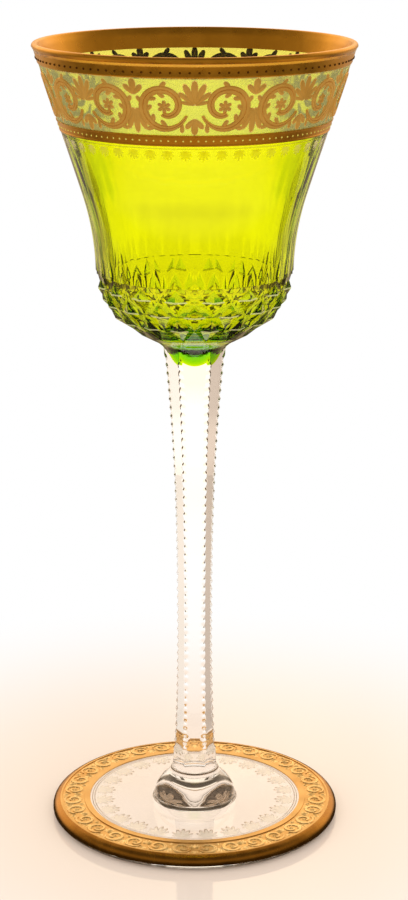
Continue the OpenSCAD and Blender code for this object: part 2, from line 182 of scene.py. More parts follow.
def blown_crystal():
    """Lead crystal, blown, cut and acid polished: clear, with a faint wave from the fire and the wheel."""
    made, tree = material("lead_crystal_cut_and_polished")
    wave = mottle(tree, 7 * MM, 0, 1)
    bump = add(tree, "ShaderNodeBump", {"Height": wave, "Strength": 0.15, "Distance": 0.02 * MM})
    tint = add(tree, "ShaderNodeMix", {
        "Factor": mottle(tree, 25 * MM, 0, 1),
        "A": linear("#FFFFFF"), "B": linear("#FBFAF6")}, data_type="RGBA")
    shader = add(tree, "ShaderNodeBsdfPrincipled", {
        "Base Color": tint.outputs[2], "Roughness": 0.0, "IOR": 1.54,
        "Transmission Weight": 1.0, "Normal": bump.outputs["Normal"]})
    add(tree, "ShaderNodeOutputMaterial", {"Surface": shader.outputs[0]})
    return made


def fused_joint():
    """Crystal joined hot to crystal: the seam is inside the glass, so light goes straight through it."""
    made, tree = material("lead_crystal_fused_seam")
    shader = add(tree, "ShaderNodeBsdfPrincipled", {
        "Base Color": linear("#FFFFFF"), "Roughness": 0.0, "IOR": 1.0, "Transmission Weight": 1.0})
    add(tree, "ShaderNodeOutputMaterial", {"Surface": shader.outputs[0]})
    return made


def coloured_glass(name, taken):
    """Glass coloured in the melt; taken is how much of red, green and blue a millimetre takes."""
    made, tree = material(name)
    shader = add(tree, "ShaderNodeBsdfPrincipled", {
        "Base Color": linear("#FFFFFF"), "Roughness": 0.0, "IOR": 1.0, "Transmission Weight": 1.0})
    most = max(taken) * 1.02
    kept = [1 - part / most for part in taken] + [1]
    depth = add(tree, "ShaderNodeVolumeAbsorption", {"Color": kept, "Density": most / MM})
    add(tree, "ShaderNodeOutputMaterial", {"Surface": shader.outputs[0], "Volume": depth.outputs[0]})
    return made


def etched_crystal():
    """Crystal bitten with acid under the gilder's pattern: a pale stipple that still lets light through."""
    made, tree = material("lead_crystal_acid_etched")
    place = add(tree, "ShaderNodeTexCoord").outputs["Object"]
    grain = add(tree, "ShaderNodeTexVoronoi", {"Vector": place, "Scale": 1 / (0.45 * MM)})
    bump = add(tree, "ShaderNodeBump", {
        "Height": grain.outputs["Distance"], "Strength": 0.5, "Distance": 0.1 * MM})
    shader = add(tree, "ShaderNodeBsdfPrincipled", {
        "Base Color": linear("#FBF290"), "Roughness": mottle(tree, 3 * MM, 0.24, 0.3), "IOR": 1.2,
        "Transmission Weight": 0.68, "Normal": bump.outputs["Normal"]})
    add(tree, "ShaderNodeOutputMaterial", {"Surface": shader.outputs[0]})
    return made


def etching_and_painted_highlight(name, colour, clear, ior=1.54):
    """Fine acid-etched drawing on polished crystal: soft pale lines that hide little of what lies behind. The
    same pale finish on the diamonds' ridges is a painted highlight.
    """
    made, tree = material(name)
    shader = add(tree, "ShaderNodeBsdfPrincipled", {
        "Base Color": linear(colour), "Roughness": mottle(tree, 0.6 * MM, 0.35, 0.55), "IOR": ior,
        "Transmission Weight": clear})
    add(tree, "ShaderNodeOutputMaterial", {"Surface": shader.outputs[0]})
    return made


def gilding_back(name, dark, light):
    """The dull back of the gilding, seen through the glass."""
    made, tree = material(name)
    tone = add(tree, "ShaderNodeMix", {
        "Factor": mottle(tree, 2 * MM, 0, 1, 4), "A": linear(dark), "B": linear(light)}, data_type="RGBA")
    shader = add(tree, "ShaderNodeBsdfPrincipled", {"Base Color": tone.outputs[2], "Roughness": 0.6})
    add(tree, "ShaderNodeOutputMaterial", {"Surface": shader.outputs[0]})
    return made


def fired_gold(name, light, dark, smooth, rough, grain, metal=1.0):
    """Gold painted on, fired and rubbed: warm metal with a fine brush grain and faintly uneven gloss."""
    made, tree = material(name)
    tone = add(tree, "ShaderNodeMix", {
        "Factor": mottle(tree, 6 * MM, 0, 1, 4), "A": linear(dark), "B": linear(light)}, data_type="RGBA")
    place = add(tree, "ShaderNodeTexCoord").outputs["Object"]
    tooth = add(tree, "ShaderNodeTexNoise", {"Vector": place, "Scale": 1 / grain, "Detail": 3})
    bump = add(tree, "ShaderNodeBump", {
        "Height": tooth.outputs["Fac"], "Strength": 0.25, "Distance": 0.04 * MM})
    shader = add(tree, "ShaderNodeBsdfPrincipled", {
        "Base Color": tone.outputs[2], "Metallic": metal, "Roughness": mottle(tree, 3 * MM, smooth, rough),
        "Normal": bump.outputs["Normal"]})
    add(tree, "ShaderNodeOutputMaterial", {"Surface": shader.outputs[0]})
    return made


def near(tree, bearing, centre, inner, outer, here=1, elsewhere=0):
    """One value within inner degrees of a centre bearing, another past outer degrees."""
    off = add(tree, "ShaderNodeMath", {0: bearing, 1: math.radians(centre)}, operation="SUBTRACT").outputs[0]
    off = add(tree, "ShaderNodeMath", {0: off}, operation="ABSOLUTE").outputs[0]
    return add(tree, "ShaderNodeMapRange", {
        "Value": off, "From Min": math.radians(inner), "From Max": math.radians(outer),
        "To Min": here, "To Max": elsewhere}, interpolation_type="SMOOTHSTEP").outputs["Result"]


def backdrop(tree, bearing, middle):
    """Tone of the backdrop at a bearing: pinkish at both sides, with a warm grey card at the left."""
    aside = add(tree, "ShaderNodeMath", {0: bearing}, operation="ABSOLUTE").outputs[0]
    tone = add(tree, "ShaderNodeMix", {
        "Factor": near(tree, aside, 47, 12, 15),
        "A": middle, "B": linear("#FAEDE0")}, data_type="RGBA").outputs[2]
    return add(tree, "ShaderNodeMix", {
        "Factor": near(tree, bearing, -42, 8, 10),
        "A": tone, "B": linear("#CBB8A8")}, data_type="RGBA").outputs[2]


def mirror_only(tree, path):
    """One for a ray that a surface mirrors; a ray bent through glass also counts as glossy, so it is off."""
    return add(tree, "ShaderNodeMath", {
        0: path["Is Glossy Ray"], 1: path["Is Transmission Ray"]},
        operation="SUBTRACT", use_clamp=True).outputs[0]


def studio_floor():
    """Plain pale lacquered table with a soft shadow: a painted pool of warm light near the glass, white far
    off.
    """
    made, tree = material("pale_lacquered_table")
    path = add(tree, "ShaderNodeLightPath").outputs
    place = add(tree, "ShaderNodeTexCoord").outputs["Object"]
    parts = add(tree, "ShaderNodeSeparateXYZ", {0: place}).outputs
    reach = add(tree, "ShaderNodeVectorMath", {0: place}, operation="LENGTH").outputs["Value"]
    # Painted pool of warm light: cream near the glass, going to white far off
    far = add(tree, "ShaderNodeMapRange", {
        "Value": reach, "From Min": 0.03, "From Max": 0.16, "To Min": 0, "To Max": 1},
        interpolation_type="SMOOTHSTEP").outputs["Result"]
    colour = add(tree, "ShaderNodeMix", {
        "Factor": far, "A": linear("#FFE9D6"), "B": linear("#FFFFFF")}, data_type="RGBA").outputs[2]
    table = add(tree, "ShaderNodeBsdfPrincipled", {
        "Base Color": colour, "Roughness": mottle(tree, 40 * MM, 0.04, 0.07), "IOR": 1.7})
    bearing = add(tree, "ShaderNodeMath", {0: parts["X"], 1: parts["Y"]}, operation="ARCTAN2").outputs[0]
    away = add(tree, "ShaderNodeMath", {0: reach, 1: 0.045}, operation="GREATER_THAN").outputs[0]
    away = add(tree, "ShaderNodeMath", {
        0: away, 1: path["Is Transmission Ray"]}, operation="MULTIPLY").outputs[0]
    colour = add(tree, "ShaderNodeMix", {
        "Factor": away, "A": colour, "B": backdrop(tree, bearing, colour)}, data_type="RGBA").outputs[2]
    # What mirrors see of the table is warmer and dimmer, darkest near the glass: painted shade that darkens
    # the gold's lower edges
    mirrored = mirror_only(tree, path)
    colour = add(tree, "ShaderNodeMix", {
        "Factor": mirrored, "A": colour, "B": linear("#FFDCA8")}, data_type="RGBA").outputs[2]
    dim = add(tree, "ShaderNodeMapRange", {
        "Value": reach, "From Min": 0.14, "From Max": 0.2, "To Min": 0.33, "To Max": 0.65}).outputs["Result"]
    fade = add(tree, "ShaderNodeMapRange", {
        "Value": reach, "From Min": 0.22, "From Max": 0.29, "To Min": 1, "To Max": 0.2}).outputs["Result"]
    dim = add(tree, "ShaderNodeMath", {0: dim, 1: fade}, operation="MULTIPLY").outputs[0]
    under = add(tree, "ShaderNodeMapRange", {
        "Value": reach, "From Min": 0.07, "From Max": 0.12, "To Min": 0.15, "To Max": 1}).outputs["Result"]
    dim = add(tree, "ShaderNodeMath", {0: dim, 1: under}, operation="MULTIPLY").outputs[0]
    through = add(tree, "ShaderNodeMapRange", {
        "Value": far, "To Min": 1.06, "To Max": 1.08}).outputs["Result"]
    level = add(tree, "ShaderNodeMix", {
        "Factor": path["Is Transmission Ray"], "A": 1.0, "B": through}).outputs[0]
    level = add(tree, "ShaderNodeMix", {"Factor": mirrored, "A": level, "B": dim}).outputs[0]
    plain = add(tree, "ShaderNodeEmission", {"Color": colour, "Strength": level})
    shadeless = add(tree, "ShaderNodeMapRange", {"Value": far, "To Min": 0.1, "To Max": 1}).outputs["Result"]
    for seen in (path["Is Glossy Ray"], path["Is Transmission Ray"]):
        shadeless = add(tree, "ShaderNodeMath", {0: shadeless, 1: seen}, operation="MAXIMUM").outputs[0]
    both = add(tree, "ShaderNodeMixShader", {0: shadeless, 1: table.outputs[0], 2: plain.outputs[0]})
    add(tree, "ShaderNodeOutputMaterial", {"Surface": both.outputs[0]})
    return made


CRYSTAL = blown_crystal()
JOINT = fused_joint()
LINING = coloured_glass("yellow_green_cased_glass", (0.2, 0.14, 4.0))
PLUG = coloured_glass("deep_green_gather", (0.2, 0.05, 5.0))
ETCHED = etched_crystal()
FROSTED = etching_and_painted_highlight("lead_crystal_frosted_drawing", "#F6DCBC", 0.35)
FAINT = etching_and_painted_highlight("lead_crystal_faint_drawing", "#F6EE90", 1.0, 1.1)
# Pale finish for the bevelled ridges of the diamonds: a painted highlight, not an etching
PAINTED_RIDGE_HIGHLIGHT = etching_and_painted_highlight("lead_crystal_bevelled_ridge_painted_highlight", "#F8F2AE", 0.55)
BARE = etching_and_painted_highlight("coloured_glass_bare_of_gold", "#F2E45A", 0.2)
RIM_GOLD = fired_gold("gold_fired_and_burnished", "#ECAA36", "#DA9A2C", 0.26, 0.36, 0.8 * MM)
FRIEZE_GOLD = fired_gold("gold_fired_matt", "#F6BE58", "#E4AA46", 0.42, 0.54, 0.5 * MM, 0.7)
FOOT_GOLD = fired_gold("gold_fired_over_etching", "#FFE2A4", "#FAD28A", 0.28, 0.4, 0.6 * MM)
# Darker gold for the foot's round outer edge: painted shade
EDGE_GOLD_PAINTED_SHADE = fired_gold("gold_fired_edge_painted_shade", "#C48A34", "#A06A22", 0.2, 0.3, 0.8 * MM)
FIELD_GOLD = fired_gold("gold_matted_field", "#F2C880", "#DCAC62", 0.34, 0.46, 0.35 * MM)
# Dull engraved gold for the rim's beads, painted far darker than the rim's gold: painted shade, so each bead
# reads as a dark dot
DULL_GOLD_PAINTED_SHADE = fired_gold("gold_engraved_dull_painted_shade", "#8A5A1C", "#6E4410", 0.45, 0.6, 0.4 * MM)
GOLD_BACK = gilding_back("gilding_back_dull_brown", "#4A3812", "#6B5320")
FOOT_BACK = gilding_back("gilding_back_dull_grey", "#6E665E", "#908579")

# Places of finishes in the lists of the pieces: of the glass, of the ornament and of the foot's border
CLEAR_AT, JOINT_AT, ETCHED_AT, PAINTED_RIDGE_HIGHLIGHT_AT = range(4)
BACK_AT = 1
EDGE_AT, BORDER_BACK_AT = 1, 2


# Shared modelling steps

def finish_piece(name, bm, finishes, node=None, crease=30):
    """Turns a bmesh into a shown piece on the glass, with its finishes and sharp cut edges."""
    bmesh.ops.recalc_face_normals(bm, faces=bm.faces)
    mesh = bpy.data.meshes.new(name)
    bm.to_mesh(mesh)
    bm.free()
    for finish in finishes:
        mesh.materials.append(finish)
    mesh.shade_smooth()
    mesh.set_sharp_from_angle(angle=math.radians(crease))
    piece = bpy.data.objects.new(name, mesh)
    bpy.context.scene.collection.objects.link(piece)
    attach(piece, "root")
    if node:
        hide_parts(node)


def grow(bm, rim, place, finish=0):
    """Extrudes an open rim, puts each new corner where place says, and returns the new rim and faces."""
    new = bmesh.ops.extrude_edge_only(bm, edges=rim)["geom"]
    corners = {part for part in new if isinstance(part, bmesh.types.BMVert)}
    faces = [part for part in new if isinstance(part, bmesh.types.BMFace)]
    edges = [part for part in new if isinstance(part, bmesh.types.BMEdge)]
    for corner in corners:
        corner.co = place(corner.co)
    for face in faces:
        face.material_index = finish
    return [edge for edge in edges if corners.issuperset(edge.verts)], faces


def cap(bm, rim, finish=0):
    """Closes a rim with one flat face."""
    for face in bmesh.ops.edgeloop_fill(bm, edges=rim)["faces"]:
        face.material_index = finish


def azimuth(point):
    """Turn of a point about the glass's axis."""
    return math.atan2(point.y, point.x)


def around(turn, radius, z):
    """Point at a turn about the axis, a radius and a height."""
    return Vector((radius * math.cos(turn), radius * math.sin(turn), z))


def turned(outline, closed=False, steps=TURN_STEPS):
    """A bmesh of an outline of (radius, height) turned about the axis; a closed outline makes a ring."""
    bm = bmesh.new()
    corners = [bm.verts.new((radius, 0, z)) for radius, z in outline]
    following = corners[1:] + corners[:1] if closed else corners[1:]
    edges = [bm.edges.new(pair) for pair in zip(corners, following)]
    bmesh.ops.spin(bm, geom=corners + edges, cent=(0, 0, 0), axis=(0, 0, 1), angle=math.tau, steps=steps,
                   use_merge=True)
    bmesh.ops.remove_doubles(bm, verts=bm.verts, dist=0.001 * MM)
    return bm


def arc(centre, radius, start, end, steps):
    """Points of an arc in (radius, height), from one angle to another in degrees."""
    turns = [math.radians(start + (end - start) * i / steps) for i in range(steps + 1)]
    return [(centre[0] + radius * math.cos(t), centre[1] + radius * math.sin(t)) for t in turns]


def heights(low, high, steps):
    """Evenly spaced heights from low to high."""
    return [low + (high - low) * i / steps for i in range(steps + 1)]


# Bowl

def wall_lean(wall):
    """Lean of the straight upper wall from upright."""
    waist_r, flare_r, lip_r = wall
    inward = waist_r + flare_r - lip_r
    upward = RIM_Z - WAIST_Z
    return math.atan2(upward, inward) - math.acos(flare_r / math.hypot(inward, upward))


def wall_r(wall, z):
    """Radius of a wall above the waist: a flaring arc, then a straight cone to the lip."""
    waist_r, flare_r, lip_r = wall
    lean = wall_lean(wall)
    if z < WAIST_Z + flare_r * math.sin(lean):
        return waist_r + flare_r - math.sqrt(flare_r ** 2 - (z - WAIST_Z) ** 2)
    return lip_r - (RIM_Z - z) * math.tan(lean)


def outside_r(z):
    """Radius of the bowl's uncut outer face at any height."""
    if z >= WAIST_Z:
        return wall_r(OUTSIDE, z)
    return OUTSIDE[0] * math.sqrt(1 - ((WAIST_Z - z) / BELLY_DEPTH) ** 2)


def belly(waist_r, depth, steps=40):
    """The round lower half of the seam or the inner face, from the waist to the axis, as (radius, height)."""
    turns = [math.pi / 2 * i / steps for i in range(steps + 1)]
    return [(waist_r * math.cos(t), WAIST_Z - depth * math.sin(t)) for t in turns]


def diamond_place(point):
    """Column and row of a corner in the net of diamonds."""
    column = round((azimuth(point) - FRONT) / (math.pi / DIAMONDS))
    row = min(range(len(ROW_Z)), key=lambda i: abs(point.z - ROW_Z[i]))
    return column, row


def in_groove(corner):
    """True where the grooves between the diamonds cross."""
    return sum(diamond_place(corner.co)) % 2 == 1


def diamond_corner(point, row):
    """A corner of the net of diamonds: a peak on the bowl's face, or cut in where grooves cross."""
    z = ROW_Z[row]
    column = diamond_place(point)[0]
    radius = outside_r(z)
    if row == 0:
        radius -= LINE_DEPTH
    elif row > DIAMOND_ROWS:
        radius -= GROOVE_DEPTH / 2
    elif (column + row) % 2 == 1:
        radius -= GROOVE_DEPTH
    return around(azimuth(point), radius, z)


def cut_channels(bm):
    """Widens the grooves to flat ground, so that each diamond stands by itself, and bevels its side ridges
    into narrow strips that take a painted highlight.
    """
    peaks = [v for v in bm.verts if 0 < diamond_place(v.co)[1] <= DIAMOND_ROWS and not in_groove(v)]
    ridges = []
    for peak in peaks:
        row = diamond_place(peak.co)[1]
        up, down = ROW_Z[row - 1] - ROW_Z[row], ROW_Z[row + 1] - ROW_Z[row]
        diamond = list(peak.link_faces)
        bmesh.ops.inset_region(bm, faces=diamond, thickness=GROOVE_W, use_even_offset=True)
        for corner in {v for face in diamond for v in face.verts if v != peak}:
            turn = azimuth(peak.co)
            rise = corner.co.z - peak.co.z
            if abs(rise) < ROW_H / 4:
                clockwise = peak.co.cross(corner.co).z < 0
                turn += DIAMOND_SIDE * math.pi / DIAMONDS * (-1 if clockwise else 1)
                rise = 0
            else:
                rise = DIAMOND_TOP * up if rise > 0 else DIAMOND_FOOT * down
            z = peak.co.z + rise
            corner.co = around(turn, outside_r(z) - GROOVE_DEPTH, z)
            if rise == 0:
                ridges.append(bm.edges.get((peak, corner)))
    # The bevelled strips along the side ridges take a pale finish: a painted highlight
    highlight_strips = bmesh.ops.bevel(
        bm, geom=ridges, offset=RIDGE_W, offset_type="OFFSET",
        affect="EDGES", segments=1, profile=0.5, material=-1)
    for face in highlight_strips["faces"]:
        face.material_index = PAINTED_RIDGE_HIGHLIGHT_AT


def flute_corner(point, z):
    """A point of the hollow flutes, which run out below the gilded band."""
    across = (azimuth(point) - FRONT) / (math.tau / FLUTES) % 1
    depth = FLUTE_DEPTH * max(0, min(1, (FLUTE_TOP_Z - z) / FLUTE_FADE))
    depth += FLUTE_END_DEPTH * max(0, 1 - (z - LINE_Z) / FLUTE_END_H) ** 2
    return around(azimuth(point), outside_r(z) - depth * 4 * across * (1 - across), z)


def cavity_outline():
    """The bowl's inner face from its lip to the middle of its floor, as (radius, height)."""
    wall = [(wall_r(INSIDE, z), z) for z in heights(RIM_Z - LIP_BEND, WAIST_Z, WALL_STEPS)]
    return wall + belly(INSIDE[0], INSIDE_DEPTH)[1:-1]


def cut_bowl():
    """The clear bowl wall: cut outside, lip, smooth inside."""
    bm = bmesh.new()
    base = bmesh.ops.create_circle(bm, cap_ends=True, segments=2 * DIAMONDS, radius=BASE_R)["verts"]
    bmesh.ops.translate(bm, verts=base, vec=(0, 0, BOWL_Z))
    for face in bm.faces:
        face.material_index = JOINT_AT
    rim = list(bm.edges)
    for row in reversed(range(len(ROW_Z) - 1)):
        rim, faces = grow(bm, rim, lambda p: diamond_corner(p, row))
        for face in faces:
            low_corners = [corner for corner in face.verts if in_groove(corner)]
            bmesh.utils.face_split(face, *low_corners)
    cut_channels(bm)
    bmesh.ops.bisect_edges(bm, edges=rim, cuts=FLUTE_FACES - 1)
    rim = [edge for edge in bm.edges if all(abs(v.co.z - LINE_Z) < LINING_INSET for v in edge.verts)]
    for z in heights(LINE_Z + LEDGE_H, FLUTE_TOP_Z, FLUTE_STEPS):
        rim = grow(bm, rim, lambda p: flute_corner(p, z))[0]
    for z, finish in ((BAND_TOP_Z, CLEAR_AT), (RIM_GILD_Z, ETCHED_AT)):
        rim = grow(bm, rim, lambda p: around(azimuth(p), outside_r(z), z), finish)[0]
    lip = arc((OUTSIDE[2] - LIP_BEND, RIM_Z - LIP_BEND), LIP_BEND, 0, 150, 7)
    for radius, z in lip + cavity_outline():
        rim = grow(bm, rim, lambda p: around(azimuth(p), radius, z))[0]
    cap(bm, rim)
    return bm


def lining_outline():
    """The coloured glass: from under its floor up the seam, over its top and down to its floor."""
    under = belly(SEAM[0], SEAM_DEPTH)[::-1]
    wall = [(wall_r(SEAM, z), z) for z in heights(WAIST_Z, LINING_TOP_Z, WALL_STEPS)[1:]]
    inner = [(radius + LINING_INSET, z - LINING_INSET) for radius, z in cavity_outline() if z < LINING_TOP_Z]
    return [(0, under[0][1])] + under[1:] + wall + inner + [(0, inner[-1][1])]


def plug_outline():
    """The solid gather of deeper glass that runs from the bowl's floor down into the stem."""
    tip = arc((PLUG_R - PLUG_ROUND, PLUG_TIP_Z + PLUG_ROUND), PLUG_ROUND, -90, 0, 12)
    radii = [PLUG_R * share for share in (1, 0.75, 0.5, 0.25, 0)]
    top = [(r, WAIST_Z - SEAM_DEPTH * math.sqrt(1 - (r / SEAM[0]) ** 2) - LINING_INSET) for r in radii]
    return [(0, PLUG_TIP_Z)] + tip + top


bowl_finishes = [CRYSTAL, JOINT, ETCHED, PAINTED_RIDGE_HIGHLIGHT]
finish_piece("bowl_casing_piece", cut_bowl(), bowl_finishes, "bowl_casing", crease=6)
finish_piece("bowl_lining_piece", turned(lining_outline()), [LINING], "bowl_lining")
finish_piece("bowl_plug_piece", turned(plug_outline()), [PLUG])


# Stem

def shaft_r(z):
    """Radius of the stem's corners: slimmest low down, swelling to both ends."""
    if z < STEM_SLIM_Z:
        share = (STEM_SLIM_Z - z) / (STEM_SLIM_Z - STEM_Z)
        return STEM_SLIM_R + (STEM_BASE_R - STEM_SLIM_R) * share ** 2
    share = (z - STEM_SLIM_Z) / (BOWL_Z - STEM_SLIM_Z)
    return STEM_SLIM_R + (STEM_TOP_R - STEM_SLIM_R) * share ** STEM_SWELL


def cup_r(z):
    """Radius of the flared cup that the bowl sits in."""
    foot_r = shaft_r(CUP_Z) * math.cos(math.pi / STEM_SIDES) - CUP_INSET
    spread = BASE_R - foot_r
    rise = BOWL_Z - CUP_Z
    bend_r = (rise ** 2 + spread ** 2) / (2 * spread)
    return foot_r + bend_r - math.sqrt(bend_r ** 2 - (z - CUP_Z) ** 2)


def stem_corner(point, z):
    """A point of the stem: six flats whose corners are bitten by a row of small round notches."""
    sector = math.tau / STEM_SIDES
    turn = azimuth(point)
    off = abs((turn + sector / 2) % sector - sector / 2)
    corner = shaft_r(z)
    flat = corner * math.cos(sector / 2) / math.cos(sector / 2 - off)
    low, high = STEM_Z + NOTCH_MARGIN, BOWL_Z - NOTCH_MARGIN
    bite = 0
    if low < z < high:
        bite = NOTCH_DEPTH * abs(math.sin(math.pi * NOTCHES * (z - low) / (high - low)))
    bevel = (corner - EDGE_BEVEL - bite) / math.cos(off)
    radius = min(flat, bevel)
    if z > CUP_Z:
        radius = max(radius, cup_r(z))
    return around(turn, radius, z)


def stem_turns():
    """Turns of the columns of the stem's mesh, close together at its corners."""
    half = (0, 1.2, 2.6, 4, 5.4, 7, 10, 16, 23, 30)
    offs = [-t for t in half[:0:-1]] + list(half[:-1])
    return [math.radians(60 * side + off) for side in range(STEM_SIDES) for off in offs]


def notched_stem():
    """The stem, ring by ring."""
    bm = bmesh.new()
    turns = stem_turns()
    base = bmesh.ops.create_circle(bm, cap_ends=True, segments=len(turns), radius=1)["verts"]
    for corner, turn in zip(base, turns):
        corner.co = stem_corner(around(turn, 1, 0), STEM_Z + JOINT_GAP)
    for face in bm.faces:
        face.material_index = JOINT_AT
    low, high = STEM_Z + NOTCH_MARGIN, BOWL_Z - NOTCH_MARGIN
    pitch = (high - low) / NOTCHES
    bites = [low + pitch * (i + s) for i in range(NOTCHES) for s in NOTCH_RINGS]
    zs = heights(STEM_Z, low, 4)[1:-1] + bites + heights(high, BOWL_Z - JOINT_GAP, 8)
    rim = list(bm.edges)
    for z in zs:
        rim = grow(bm, rim, lambda p: stem_corner(p, z))[0]
    cap(bm, rim, JOINT_AT)
    return bm


finish_piece("stem_piece", notched_stem(), [CRYSTAL, JOINT], "stem", crease=20)


# Foot and merese

def foot_outline():
    """The foot from the middle of its hollow underside round its edge and up its dome."""
    foot_top_z = 2 * FOOT_EDGE_R + FOOT_RISE
    edge_r = FOOT_R - FOOT_EDGE_R
    rest_r = edge_r - REST_W
    rise = MERESE_Z - foot_top_z
    draw_in = DOME_R - MERESE_R
    dome_bend = (rise ** 2 + draw_in ** 2) / (2 * draw_in)
    dome = [(DOME_R - dome_bend + math.sqrt(dome_bend ** 2 - (z - foot_top_z) ** 2), z)
            for z in heights(foot_top_z + DOME_FILLET, MERESE_Z, 20)]
    fillet = arc((dome[0][0] + DOME_FILLET, foot_top_z + DOME_FILLET), DOME_FILLET, -90, -180, 6)
    under = [(0, FOOT_HOLLOW), (rest_r * 0.5, FOOT_HOLLOW * 0.75), (rest_r, 0)]
    edge = arc((edge_r, FOOT_EDGE_R), FOOT_EDGE_R, -90, 90, 16)
    joint_r = MERESE_R - (STEM_Z - MERESE_Z - JOINT_GAP) / 2
    return under + edge + fillet + dome[1:] + [(joint_r, MERESE_Z), (0, MERESE_Z)]


def mark_seam(bm, z, radius):
    """Gives the fused seam's finish to the flat faces of a joint at a height."""
    for face in bm.faces:
        middle = face.calc_center_median()
        if abs(middle.z - z) < SEATED and middle.xy.length < radius:
            face.material_index = JOINT_AT
    return bm


merese_bend = (STEM_Z - MERESE_Z - JOINT_GAP) / 2
merese_mid = (MERESE_R - merese_bend, STEM_Z - merese_bend)
merese = turned([(0, MERESE_Z + JOINT_GAP)] + arc(merese_mid, merese_bend, -90, 90, 12) + [(0, STEM_Z)])
mark_seam(merese, MERESE_Z, merese_mid[0])
mark_seam(merese, STEM_Z, merese_mid[0])
finish_piece("merese_piece", merese, [CRYSTAL, JOINT], "merese")
foot = mark_seam(turned(foot_outline()), MERESE_Z, merese_mid[0])
finish_piece("foot_piece", foot, [CRYSTAL, JOINT], "foot", crease=40)


# Gilding of the rim and the band

def on_wall(z, proud):
    """A point of a gilded band's outline, standing proud of the bowl's outer face."""
    return wall_r(OUTSIDE, z) + proud, z


def rim_outline():
    """Gold over the lip: a fine ridge, a plain field, a groove, then over the lip and down inside."""
    field = [(0, -SEATED), (0.02, GILD_T), (0.3, 1.5 * GILD_T), (0.6, GILD_T), (2.75, GILD_T),
             (2.9, 0.3 * GILD_T), (3.15, 0.3 * GILD_T), (3.3, GILD_T)]
    outer = [on_wall(RIM_GILD_Z + rise * MM, proud) for rise, proud in field]
    centre = (OUTSIDE[2] - LIP_BEND, RIM_Z - LIP_BEND)
    over = arc(centre, LIP_BEND + GILD_T, 0, 165, 12)
    inner = [(wall_r(INSIDE, z) - GILD_T, z) for z in heights(RIM_Z - 1.5 * LIP_BEND, LIP_GILD_Z, 4)]
    back = [(wall_r(INSIDE, LIP_GILD_Z) + SEATED, LIP_GILD_Z)]
    under = arc(centre, LIP_BEND - SEATED, 165, 0, 8)
    return outer + over + inner + back + under


def band_outline():
    """The narrow gold band under the frieze, with a raised edge above and below."""
    field = [(0, -SEATED), (0.02, 1.4 * GILD_T), (0.35, 1.4 * GILD_T), (0.45, 0.8 * GILD_T),
             (2.25, 0.8 * GILD_T), (2.35, 1.4 * GILD_T), (2.68, 1.4 * GILD_T), (2.7, -SEATED)]
    return [on_wall(BAND_Z + rise * MM, proud) for rise, proud in field]


finish_piece("rim_gilding_piece", turned(rim_outline(), True), [RIM_GOLD], "rim_gilding")
finish_piece("band_gilding_piece", turned(band_outline(), True), [RIM_GOLD], "band_gilding")


# Ornament drawn flat and wrapped onto the glass: u runs around, v across the border, the third is height

def petal(bm, place, length, width, rise, seat=-SEATED):
    """A rounded leaf lying along its own y, with a raised heart; its back face takes the second finish."""
    made = bmesh.ops.create_circle(bm, cap_ends=True, cap_tris=True, segments=12, radius=1)["verts"]
    for corner in made:
        along = (corner.co.y + 1) / 2
        heart = corner.co.length < 0.5
        side = corner.co.x * width / 2 * (0.4 + 0.6 * along)
        corner.co = place @ Vector((side, along * length, rise if heart else seat))
    rim = {edge for corner in made for edge in corner.link_edges if edge.is_boundary}
    cap(bm, list(rim), BACK_AT)


def fan(bm, place, petals, length, width, rise, seat=-SEATED):
    """Petals spread from one root; petals gives each one's turn in degrees and its share of the length."""
    for turn, share in petals:
        spread = place @ Matrix.Rotation(math.radians(turn), 4, "Z")
        petal(bm, spread, length * share, width * share, rise, seat)


PALMETTE = ((0, 1), (24, 0.94), (-24, 0.94), (48, 0.78), (-48, 0.78), (74, 0.56), (-74, 0.56))
TREFOIL = ((0, 1), (40, 0.8), (-40, 0.8))
ROSETTE = tuple((60 * i, 1) for i in range(6))

# A volute: its turning in degrees, its eye as a share of its radius, how late it winds in, and its widths
VOLUTE_STEPS = 44
VOLUTE_START = -158
VOLUTE_TURN = 445
VOLUTE_EYE = 0.33
VOLUTE_LATE = 1.8
VOLUTE_TIP_W = 0.3
VOLUTE_SWELL = 0.3
VOLUTE_TAPER = 0.45


def volute_path(outer_r, inner_r, start, turn, steps):
    """Points and headings of a spiral that winds in about its panel's middle."""
    path = []
    for i in range(steps + 1):
        share = i / steps
        angle = math.radians(start + turn * share)
        radius = outer_r + (inner_r - outer_r) * share ** VOLUTE_LATE
        drift = (inner_r - outer_r) * VOLUTE_LATE * share ** (VOLUTE_LATE - 1) / math.radians(turn)
        heading = angle + math.pi / 2 - math.atan2(drift, radius)
        path.append((radius * math.cos(angle), radius * math.sin(angle), heading))
    return path


def ribbon(bm, place, path, widths, rise):
    """A raised band along a path with an engraved line down its middle."""
    section = [(-1, -SEATED), (-0.7, rise), (-0.12, rise), (0, 0.35 * rise),
               (0.12, rise), (0.7, rise), (1, -SEATED)]
    frames = []
    for (x, y, heading), width in zip(path, widths):
        frames.append(place @ Matrix.Translation((x, y, 0)) @ Matrix.Rotation(heading, 4, "Z")
                      @ Matrix.Diagonal((1, width / 2, 1, 1)))
    corners = [bm.verts.new(frames[0] @ Vector((0, across, h))) for across, h in section]
    rim = [bm.edges.new(pair) for pair in zip(corners, corners[1:] + corners[:1])]
    back = rim[-1]
    cap(bm, rim)
    for before, after in zip(frames, frames[1:]):
        step = after @ before.inverted()
        ends = set(back.verts)
        rim, faces = grow(bm, rim, lambda p: step @ p)
        under = [face for face in faces if ends.issubset(face.verts)][0]
        under.material_index = BACK_AT
        back = [edge for edge in under.edges if edge in rim][0]
    cap(bm, rim)


